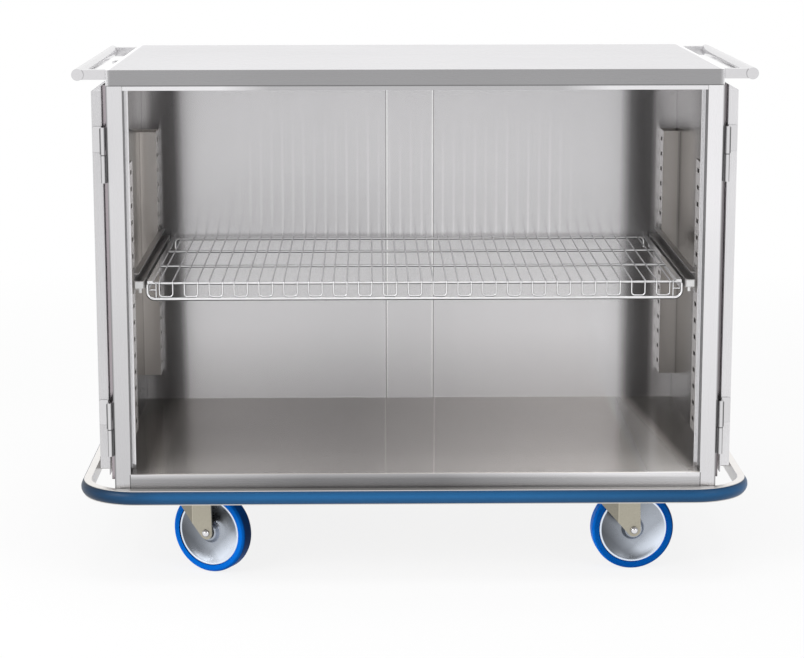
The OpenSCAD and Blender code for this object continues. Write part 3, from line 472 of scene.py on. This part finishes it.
def floor_shade(tree):
    """Painted reflections on the floor panel: dim along the end walls, lighter to the right, the
    strip's edges and the deck wires mirrored in it.
    """
    x, y, _ = place(tree)
    slope = spread(tree, y, *FLOOR_LONG, *FLOOR_DIM_FROM)
    right = spread(tree, minus(tree, x, slope), -0.016, 0.016, 1.0, 0.25)
    left = spread(tree, x, *FLOOR_LEFT_DIM, 0.4, 1.0)
    sweep = product(tree, spread(tree, x, *FLOOR_SWEEP, 0.84, 1.75),
                    spread(tree, x, *FLOOR_LEFT_SWEEP, 1.2, 1.0))
    edges = [line(tree, minus(tree, x, product(tree, y, lean)), at, 0.0016, 1.3)
             for lean, at in STRIP_IMAGES]
    gleam = wire_gleam(tree, x, spread(tree, y, *FLOOR_GLEAM, 0.08, 0.0))
    glow = spread(tree, x, *FLOOR_RIGHT_GLOW, 1.0, 1.45)
    return product(tree, right, left, sweep, gleam, glow, *edges)


def header_shade(tree):
    """Painted reflection on the header rail: bright near its ends and greyer in the middle."""
    return spread(tree, unsigned(tree, place(tree)[0]), *HEADER_ENDS, 0.58, 0.95)


def skirt_shade(tree):
    """The top's turned-down front: painted darker than the top, painted highlights at its bends, a
    painted shadow line along its lower edge.
    """
    x, _, z = place(tree)
    front = spread(tree, facing(tree)[1], *AGAINST, 0.52, 1.0)
    end = spread(tree, unsigned(tree, x), TOP_X - 0.009, TOP_X - 0.002, 1.0, 1.7)
    low = spread(tree, z, TOP_FOOT + 0.0008, TOP_FOOT + 0.0022, 0.45, 1.0)
    return product(tree, front, end, low)


def post_shade(tree):
    """Posts, with painted shade and light: dim towards the opening and the floor, a painted dark
    outer bend, painted shadow lines by the hinge barrels, a dark line at the sill.
    """
    x, _, z = place(tree)
    nx, ny, _ = facing(tree)
    side, out = math_node(tree, "SIGN", x), unsigned(tree, x)
    front = at_front(tree, ny)
    inward = spread(tree, product(tree, nx, side), *AGAINST, 0.06, 1.0)
    rise = math_node(tree, "ADD", spread(tree, z, *POST_RISE, 0.76, 0.95),
                     by_side(tree, x, -0.01, 0.17))
    barrel_shadow = line(tree, out, HINGE_X - 0.0070, 0.0014, 0.25)
    bend = spread(tree, out, POST_OUT - 0.0035, POST_OUT - 0.0008, 1.0, 0.4)
    at_sill = product(tree, below(tree, out, POST_IN + 0.0018), below(tree, z, SILL_TOP))
    return product(tree, inward, rise,
                   within(tree, product(tree, front, at_hinges(tree, z)), barrel_shadow),
                   within(tree, front, bend), within(tree, product(tree, front, at_sill), 0.3))


def door_shade(tree):
    """A painted shadow line between a hinge barrel and the folded door's front edge, which is
    painted darker on the left door.
    """
    x, _, z = place(tree)
    barrel_shadow = line(tree, unsigned(tree, x), HINGE_X + 0.0056, 0.0013, 0.2)
    front = at_front(tree, facing(tree)[1])
    return product(tree, within(tree, product(tree, front, at_hinges(tree, z)), barrel_shadow),
                   within(tree, front, by_side(tree, x, 0.85, 1.03)))


def sill_shade(tree):
    """The sill's front: a painted highlight along its upper bend, painted dimmer low down and in
    its middle.
    """
    x, _, z = place(tree)
    front = at_front(tree, facing(tree)[1])
    along = product(tree, spread(tree, x, *SILL_LEFT, 1.45, 0.84),
                    spread(tree, x, *SILL_RIGHT, 0.95, 2.5))
    fall = product(tree, spread(tree, z, SILL_TOP - 0.010, SILL_TOP, 0.42, 0.85), along)
    fall = math_node(tree, "MINIMUM", fall, 1.25)
    return math_node(tree, "MAXIMUM", product(tree, front, fall), minus(tree, 1.0, front))


def wire_shade(tree):
    """Wires: painted light along their upper sides, painted shade on their undersides and along
    their edges.
    """
    nx, _, nz = facing(tree)
    return product(tree, spread(tree, nz, -0.35, -0.05, 0.12, 1.1),
                   spread(tree, unsigned(tree, nx), 0.35, 0.75, 1.0, 0.2))


def bumper_shade(tree):
    """The vinyl: a painted highlight band above its middle, painted darker along both edges and at
    its ends.
    """
    x, _, z = place(tree)
    tall = BUMPER_Z1 - BUMPER_Z0
    off = unsigned(tree, minus(tree, z, BUMPER_Z0 + 0.58 * tall))
    from_middle = unsigned(tree, math_node(tree, "ADD", x, -BUMPER_MID_X))
    return product(tree, spread(tree, off, 0.05 * tall, 0.35 * tall, 1.22, 0.9),
                   spread(tree, z, BUMPER_Z1 - 0.16 * tall, BUMPER_Z1 - 0.04 * tall, 1.0, 0.7),
                   spread(tree, z, BUMPER_Z0 + 0.04 * tall, BUMPER_Z0 + 0.16 * tall, 0.7, 1.0),
                   spread(tree, from_middle, *BUMPER_ENDS, 1.0, 0.72),
                   spread(tree, x, *BUMPER_LEFT_END, 0.3, 1.0))


def tyre_shade(tree):
    """Painted light and shade: the tyre is lighter where it faces left and darker where it faces
    right.
    """
    face = add(tree, "ShaderNodeNewGeometry")
    parts = add(tree, "ShaderNodeSeparateXYZ")
    tree.links.new(face.outputs["Normal"], parts.inputs["Vector"])
    leftward = product(tree, parts.outputs["X"], -1.0)
    return product(tree, spread(tree, leftward, 0.05, 0.7, 1.0, 2.0),
                   spread(tree, parts.outputs["X"], 0.35, 0.9, 1.0, 0.15))


def hinge_shade(tree):
    """Hinge barrels: painted shade down both sides, a dark line between their knuckles, painted
    shadow lines beside them.
    """
    x, y, z = place(tree)
    nx, ny, _ = facing(tree)
    off = minus(tree, unsigned(tree, x), HINGE_X)
    barrel_shadows = product(tree, *[line(tree, off, at, 0.0013, 0.15)
                              for at in (BARREL_SHADOW_OFF, -BARREL_SHADOW_OFF)])
    barrel = product(tree, below(tree, unsigned(tree, off), BARREL_R),
                     below(tree, y, HINGE_Y + 0.0048))
    sides = spread(tree, unsigned(tree, nx), 0.35, 0.85, 1.0, 0.3)
    knuckles = product(tree, *[line(tree, z, mid, 0.0011, 0.3) for mid in HINGE_Z])
    return product(tree, within(tree, at_front(tree, ny), barrel_shadows), within(tree, barrel, sides),
                   within(tree, barrel, knuckles))


def channel_shade(tree):
    """Painted light: the bumper channel's upper flange is lighter than its other faces."""
    return spread(tree, facing(tree)[2], *ALONG, 1.0, 1.3)


# Finishes

FINISH = {
    "top": steel("top_sheet", 0.70, "x", 0.28, 0.6, 0.015, shade=skirt_shade),
    "post": steel("post_sheet", 0.78, "z", 0.26, 0.6, 0.012, shade=post_shade),
    "door": steel("door_sheet", 0.76, "z", 0.26, 0.6, 0.006, metallic=0.85, shade=door_shade),
    "hinge": steel("hinge_steel", 0.70, "z", 0.2, 0.0, 0.01, shade=hinge_shade),
    "header": steel("header_sheet", 0.88, "z", 0.26, 0.6, 0.01, streaks="x", shade=header_shade),
    "level": steel("level_sheet", 0.66, "x", 0.28, 0.6, shade=sill_shade),
    "back": steel("back_sheet", 0.80, "z", 0.25, 1.0, 0.012, shade=back_painted_light, pitch=45, blur="z",
                  metallic=0.8, bumps=0.003, crevice_shade=0.3, vary=0.01, metal_low=1.0),
    "strip": steel("strip_sheet", 0.80, "z", 0.25, 1.0, 0.012, pitch=45, blur="z", metallic=0.8,
                   bumps=0.003, shade=strip_painted_light, crevice_shade=0.0, vary=0.01, metal_low=1.0),
    # The end walls and pilasters are painted lighter on the left than on the right
    "end_wall": steel("end_sheet", 0.50, "z", 0.22, 0.9, 0.02, (1.0, 0.95, 0.91), pitch=60,
                      blur="z", shade=wall_shade(1.5, 0.76), vary=0.02, edge=wall_painted_reflection),
    "pilaster": steel("pilaster_sheet", 0.60, "z", 0.22, 0.85, 0.02, (1.0, 0.95, 0.91), blur="z",
                      shade=wall_shade(1.65, 1.10), vary=0.02, metallic=0.55),
    "stop": steel("stop_steel", 0.85, "z", 0.15, 0.3),
    "floor": steel("floor_sheet", 0.60, "x", 0.25, 1.0, 0.004, (1.0, 0.95, 0.91), pitch=60,
                   bumps=0.001, shade=floor_shade, crevice_shade=0.3, vary=0.004, metallic=0.7),
    "channel": steel("channel_sheet", 0.72, "x", 0.3, 0.0, 0.04, (1.0, 0.97, 0.94),
                     shade=channel_shade),
    "bright": steel("bright_steel", 0.72, "y", 0.16, 0.3),
    "pin": steel("pin_steel", 0.80, "z", 0.08, 0.0),
    "dull": steel("dull_steel", 0.42, "y", 0.30, 0.2, 0.06, (1.0, 0.97, 0.95)),
    "plate": plain("fork_steel", (0.47, 0.44, 0.37), 0.36, 1.0, 0.25, 900, crevice_shade=0.5),
    "wire": plain("plated_wire", (0.90, 0.90, 0.91), 0.10, 0.6, 0.03, 300, shade=wire_shade),
    # Painted light in the gap beside the doors: a lit sheet on the left, a shaded one on the right
    "lip_left": plain("gap_sheet_lit_left", (0.40, 0.36, 0.38), 0.16, 1.0),
    "lip_right": plain("gap_sheet_shaded_right", (0.22, 0.20, 0.21), 0.16, 1.0),
    "vinyl": plain("bumper_vinyl", (0.011, 0.100, 0.255), 0.38, 0.0, 0.08, 500, level=0.24,
                   shade=bumper_shade),
    "tyre": plain("tyre_rubber", (0.001, 0.105, 0.46), 0.4, 0.0, 0.06, 500, level=0.03,
                  shade=tyre_shade),
    "nylon": plain("nylon", (0.85, 0.85, 0.85), 0.4),
}

FINISH_OF = {
    "top_panel": "top", "header_rail": "header", "front_post_left": "post",
    "front_post_right": "post", "sills": "level", "side_panel_left": "end_wall",
    "side_panel_right": "end_wall", "back_panel": "back", "back_cover_strip": "strip",
    "floor_panel": "floor", "pilasters": "pilaster", "door_stops": "stop",
    "bumper_channel": "channel", "bumper_insert": "vinyl", "base_rails": "channel",
    "cross_beams": "dull", "caster_channels": "dull", "push_handle_left": "bright",
    "push_handle_right": "bright", "handle_caps": "bright", "frame_hinge_leaves": "hinge",
    "hinge_pins": "pin", "hinge_screws": "hinge", "door_holders": "bright",
    "slide_channel_left": "dull", "slide_channel_right": "dull", "caster_plates": "plate",
    "caster_bolts": "bright", "shelf_frame": "wire", "shelf_rods": "wire",
    "shelf_wires": "wire", "shelf_rails": "dull", "shelf_blocks": "nylon",
}
for side in ("left", "right"):
    FINISH_OF[f"door_skin_{side}"] = "door"
    FINISH_OF[f"door_pan_{side}"] = "door"
    FINISH_OF[f"door_hinge_leaves_{side}"] = "hinge"
    FINISH_OF[f"door_pull_{side}"] = "bright"
    FINISH_OF[f"door_screws_{side}"] = "hinge"
for corner in CORNERS:
    FINISH_OF[f"fork_{corner}"] = f"fork_{corner}"
    FINISH_OF[f"axle_{corner}"] = "pin"
    FINISH_OF[f"rim_{corner}"] = f"rim_{corner}"
    FINISH_OF[f"tyre_{corner}"] = "tyre"


def wheel_place(tree, corner, joint):
    """X along the wheel's way and Z, measured from a caster's joint."""
    pivot = Vector(joints[f"caster_{corner}_{joint}"]["pos_m"])
    axis = Vector(joints[f"caster_{corner}_spin"]["axis"])
    angle = math.atan2(-axis.x, axis.y)
    back = Matrix.Rotation(-angle, 3, "Z")
    coords = add(tree, "ShaderNodeTexCoord")
    local = add(tree, "ShaderNodeMapping", Rotation=(0, 0, -angle), Location=tuple(-(back @ pivot)))
    parts = add(tree, "ShaderNodeSeparateXYZ")
    tree.links.new(coords.outputs["Object"], local.inputs["Vector"])
    tree.links.new(local.outputs["Vector"], parts.inputs["Vector"])
    return parts.outputs["X"], parts.outputs["Z"]


def fork_shade(corner):
    """A painted highlight along the fold down a fork's legs, and painted shade on the leading
    flange before it.
    """
    def shade(tree):
        x, _ = wheel_place(tree, corner, "swivel")
        return product(tree, spread(tree, x, FORK_FOLD - 0.001, FORK_FOLD, 0.66, 1.0),
                       line(tree, x, FORK_FOLD, 0.0008, 1.3))
    return shade


def rim_shade(corner):
    """Painted reflection: the dish is bright low on the right and dim high on the left, and its
    edge is painted white.
    """
    def shade(tree):
        x, z = wheel_place(tree, corner, "spin")
        across = product(tree, minus(tree, x, z), 0.7)
        square = math_node(tree, "ADD", product(tree, x, x), product(tree, z, z))
        radius = math_node(tree, "SQRT", square)
        dish = product(tree, spread(tree, across, -0.045, 0.015, 0.62, 1.05),
                       spread(tree, x, -0.040, 0.012, 0.78, 1.0),
                       spread(tree, math_node(tree, "ADD", x, z), -0.065, -0.030, 0.5, 1.0),
                       spread(tree, across, 0.028, 0.052, 1.0, 1.9))
        edge = spread(tree, radius, *RIM_EDGE, 0.0, 2.1)
        return math_node(tree, "MAXIMUM", dish, edge)
    return shade


# Where the fork's painted fold highlight runs
FORK_FOLD = -0.0145
# The radii of the rim's painted white edge
RIM_EDGE = (0.0612, 0.0630)
FORK_COLOR = (0.48, 0.45, 0.37)
RIM_COLOR = (0.385, 0.415, 0.465)
for corner in CORNERS:
    FINISH[f"fork_{corner}"] = plain(f"fork_steel_{corner}", FORK_COLOR, 0.36, 1.0, 0.25, 900,
                                     crevice_shade=0.5, shade=fork_shade(corner))
    FINISH[f"rim_{corner}"] = plain(f"rim_steel_{corner}", RIM_COLOR, 0.28, 1.0, 0.06, 60,
                                    crevice_shade=0.1, shade=rim_shade(corner))


def dress(name):
    """Gives a CAD node its finish."""
    slots = nodes[name].data.materials
    slots.clear()
    slots.append(FINISH[FINISH_OF[name]])


for name in nodes:
    dress(name)


# Edges: sheet metal is bent or deburred, so its edges are a little round

EDGE = {"top_panel": 0.0006, "header_rail": 0.0008, "front_post_left": 0.0008,
        "front_post_right": 0.0008, "sills": 0.0008}
EDGE_SEGMENTS = 2
EDGE_ANGLE = math.radians(50)
for name, width in EDGE.items():
    bevel = nodes[name].modifiers.new("edges", "BEVEL")
    bevel.width = width
    bevel.segments = EDGE_SEGMENTS
    bevel.limit_method = "ANGLE"
    bevel.angle_limit = EDGE_ANGLE
    bevel.use_clamp_overlap = True


# Wheels: a pressed rim with smooth dishes in place of the conical ones

def joint_frame(name):
    """The place of a joint and the direction of its axis."""
    return Vector(joints[name]["pos_m"]), Vector(joints[name]["axis"]).normalized()


def smooth_profile(points, steps=5):
    """Points on a curve through the given (radius, height) points."""
    result = []
    for i in range(len(points) - 1):
        p0 = Vector(points[max(i - 1, 0)])
        p1, p2 = Vector(points[i]), Vector(points[i + 1])
        p3 = Vector(points[min(i + 2, len(points) - 1)])
        for s in range(steps):
            t = s / steps
            result.append(0.5 * (2 * p1 + (p2 - p0) * t + (2 * p0 - 5 * p1 + 4 * p2 - p3) * t * t
                                 + (3 * p1 - p0 - 3 * p2 + p3) * t ** 3))
    result.append(Vector(points[-1]))
    return result


def lathe(name, profile, center, axis, finish, steps=96):
    """A closed profile of (radius, height) points turned round an axis."""
    side = axis.orthogonal().normalized()
    other = axis.cross(side)
    mesh = bpy.data.meshes.new(name)
    builder = bmesh.new()
    rings = []
    for k in range(steps):
        turn = 2 * math.pi * k / steps
        out = side * math.cos(turn) + other * math.sin(turn)
        rings.append([builder.verts.new(center + out * r + axis * h) for r, h in profile])
    count = len(profile)
    for k in range(steps):
        ring, following = rings[k], rings[(k + 1) % steps]
        for i in range(count):
            j = (i + 1) % count
            builder.faces.new((ring[i], ring[j], following[j], following[i]))
    bmesh.ops.recalc_face_normals(builder, faces=builder.faces)
    for face in builder.faces:
        face.smooth = True
    builder.to_mesh(mesh)
    builder.free()
    piece = bpy.data.objects.new(name, mesh)
    bpy.context.scene.collection.objects.link(piece)
    piece.data.materials.append(FINISH[finish])
    return piece


# Radius and half width along the dish, from the hub to the seat of the tyre
RIM_FACE = [(0.0150, 0.0190), (0.0170, 0.0178), (0.0190, 0.0130), (0.0215, 0.0085),
            (0.0250, 0.0062), (0.0300, 0.0054), (0.0360, 0.0058), (0.0430, 0.0070),
            (0.0500, 0.0090), (0.0560, 0.0113), (0.0605, 0.0134), (0.0635, 0.0145),
            (0.0655, 0.0145), (0.0668, 0.0134)]
RIM_BORE = 0.00755
RIM_HUB = (0.014, 0.019)
RIM_SEAT = (0.067, 0.0125)


def make_rims():
    face = [tuple(p) for p in smooth_profile(RIM_FACE)]
    outer = [(RIM_BORE, RIM_HUB[1]), RIM_HUB] + face + [RIM_SEAT]
    profile = outer + [(r, -h) for r, h in reversed(outer)]
    for corner in CORNERS:
        center, axis = joint_frame(f"caster_{corner}_spin")
        rim = lathe(f"rim_{corner}_pressed", profile, center, axis, f"rim_{corner}")
        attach(rim, f"wheel_{corner}")
        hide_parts(f"rim_{corner}")


make_rims()


# Painted light in the gap beside the doors: thin sheets from the end panels across to the doors,
# behind the front posts, coloured to stand in for the light in the gap, lighter on the left than on
# the right

LIP_X0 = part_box("side_panel_right")[1][0]
LIP_X1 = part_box("door_skin_right")[0][0] - 0.0012
LIP_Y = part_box("front_post_right")[1][1] + 0.0005
LIP_THICK = 0.001
LIP_Z0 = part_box("side_panel_right")[0][2] + 0.002
LIP_Z1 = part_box("side_panel_right")[1][2] - 0.001


def make_painted_gap_sheet(side, sign):
    low = Vector((min(sign * LIP_X0, sign * LIP_X1), LIP_Y, LIP_Z0))
    high = Vector((max(sign * LIP_X0, sign * LIP_X1), LIP_Y + LIP_THICK, LIP_Z1))
    mesh = bpy.data.meshes.new(f"lip_{side}")
    builder = bmesh.new()
    bmesh.ops.create_cube(builder, size=1.0)
    for corner in builder.verts:
        corner.co = Vector(low[k] if corner.co[k] < 0 else high[k] for k in range(3))
    builder.to_mesh(mesh)
    builder.free()
    lip = bpy.data.objects.new(f"painted_gap_sheet_{side}", mesh)
    bpy.context.scene.collection.objects.link(lip)
    lip.data.materials.append(FINISH[f"lip_{side}"])
    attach(lip, "cart")


make_painted_gap_sheet("left", -1)
make_painted_gap_sheet("right", 1)


# Stage: camera, lamps, floor and world

CLIP_END = 60
WHITE = (1, 1, 1, 1)
# In a gloss the world dims ahead of the cart, and the more the higher
ROOM_AHEAD = (-0.6, -0.1)
ROOM_HIGH = (0.28, 0.5)
ROOM_DIM = 0.88
SOFT_LIGHT = 0.55
STAGE_RADIUS = 14
# The stage floor's whiteness, from near the cart to far away
STAGE_REACH = (0.8, 3.5)
STAGE_WHITE = (0.84, 1.0)
LAMP_AIM = (0, 0, 0.5)
LAMPS = {  # Place, size and watts
    "key_left": ((-3.0, -3.0, 2.6), (2.4, 2.0), 85),
    "key_right": ((3.0, -3.0, 2.6), (2.0, 2.0), 28),
    "top_soft": ((0, -0.5, 3.6), (3.0, 2.0), 50),
}


def make_camera():
    cp, sp = math.cos(CAMERA_PITCH), math.sin(CAMERA_PITCH)
    cy, sy = math.cos(CAMERA_YAW), math.sin(CAMERA_YAW)
    forward = Vector((sy * cp, cy * cp, -sp))
    level = Vector((cy, -sy, 0))
    upright = level.cross(forward)
    cr, sr = math.cos(CAMERA_ROLL), math.sin(CAMERA_ROLL)
    right = level * cr + upright * sr
    up = upright * cr - level * sr
    data = bpy.data.cameras.new("camera")
    data.sensor_fit = "HORIZONTAL"
    data.sensor_width = SENSOR_MM
    data.lens = CAMERA_FOCAL_PX * SENSOR_MM / PHOTO_W
    data.clip_end = CLIP_END
    camera = bpy.data.objects.new("camera", data)
    turn = Matrix((right, up, -forward)).transposed()
    camera.matrix_world = Matrix.Translation(CAMERA_AT) @ turn.to_4x4()
    bpy.context.scene.collection.objects.link(camera)
    bpy.context.scene.camera = camera


def make_lamp(name, at, size, watts):
    data = bpy.data.lights.new(name, "AREA")
    data.shape = "RECTANGLE"
    data.size, data.size_y = size
    data.energy = watts
    lamp = bpy.data.objects.new(name, data)
    lamp.location = at
    lamp.rotation_euler = (Vector(LAMP_AIM) - Vector(at)).to_track_quat("-Z", "Y").to_euler()
    bpy.context.scene.collection.objects.link(lamp)


def seen_rays(tree):
    """1 for a ray of the camera, of a gloss or through glass, 0 for the rest; and the node."""
    path = add(tree, "ShaderNodeLightPath")
    seen = math_node(tree, "MAXIMUM", path.outputs["Is Camera Ray"], path.outputs["Is Glossy Ray"])
    return math_node(tree, "MAXIMUM", seen, path.outputs["Is Transmission Ray"]), path


def mix_shaders(tree, fac, first, second):
    mix = tree.nodes.new("ShaderNodeMixShader")
    tree.links.new(fac, mix.inputs["Fac"])
    tree.links.new(first, mix.inputs[1])
    tree.links.new(second, mix.inputs[2])
    return mix.outputs["Shader"]


def make_world():
    """White all round for the eye; in a gloss, the room high behind the camera is dim."""
    world = bpy.data.worlds.new("studio")
    world.use_nodes = True
    tree = world.node_tree
    tree.nodes.clear()
    out = tree.nodes.new("ShaderNodeOutputWorld")
    soft = add(tree, "ShaderNodeBackground", Color=WHITE, Strength=SOFT_LIGHT)
    white = add(tree, "ShaderNodeBackground", Color=WHITE, Strength=1.0)
    studio = add(tree, "ShaderNodeBackground", Color=WHITE)
    coords = add(tree, "ShaderNodeTexCoord")
    parts = add(tree, "ShaderNodeSeparateXYZ")
    tree.links.new(coords.outputs["Generated"], parts.inputs["Vector"])
    ahead = spread(tree, parts.outputs["Y"], *ROOM_AHEAD, 1.0, 0.0)
    high = spread(tree, parts.outputs["Z"], *ROOM_HIGH, 0.0, ROOM_DIM)
    tree.links.new(minus(tree, 1.0, product(tree, ahead, high)), studio.inputs["Strength"])
    seen, path = seen_rays(tree)
    glossy = mix_shaders(tree, path.outputs["Is Glossy Ray"], white.outputs[0], studio.outputs[0])
    tree.links.new(mix_shaders(tree, seen, soft.outputs[0], glossy), out.inputs["Surface"])
    bpy.context.scene.world = world


def make_floor():
    """A pale floor under the cart: white to the eye, but for the cart's soft shadow."""
    mesh = bpy.data.meshes.new("floor")
    builder = bmesh.new()
    bmesh.ops.create_circle(builder, cap_ends=True, segments=64, radius=STAGE_RADIUS)
    builder.to_mesh(mesh)
    builder.free()
    floor = bpy.data.objects.new("floor", mesh)
    bpy.context.scene.collection.objects.link(floor)

    mat, tree, out = new_material("stage_floor")
    pale = add(tree, "ShaderNodeBsdfDiffuse", Color=(0.9, 0.9, 0.9, 1))
    white = add(tree, "ShaderNodeEmission", Color=WHITE, Strength=1.0)
    coords = add(tree, "ShaderNodeTexCoord")
    away = add(tree, "ShaderNodeVectorMath", operation="LENGTH")
    tree.links.new(coords.outputs["Object"], away.inputs[0])
    whiteness = spread(tree, away.outputs["Value"], *STAGE_REACH, *STAGE_WHITE)
    seen, _ = seen_rays(tree)
    shown = mix_shaders(tree, whiteness, pale.outputs[0], white.outputs[0])
    tree.links.new(mix_shaders(tree, seen, pale.outputs[0], shown), out.inputs["Surface"])
    floor.data.materials.append(mat)


make_camera()
make_world()
make_floor()
for name, (at, size, watts) in LAMPS.items():
    make_lamp(name, at, size, watts)

bpy.context.scene.view_settings.view_transform = "Standard"
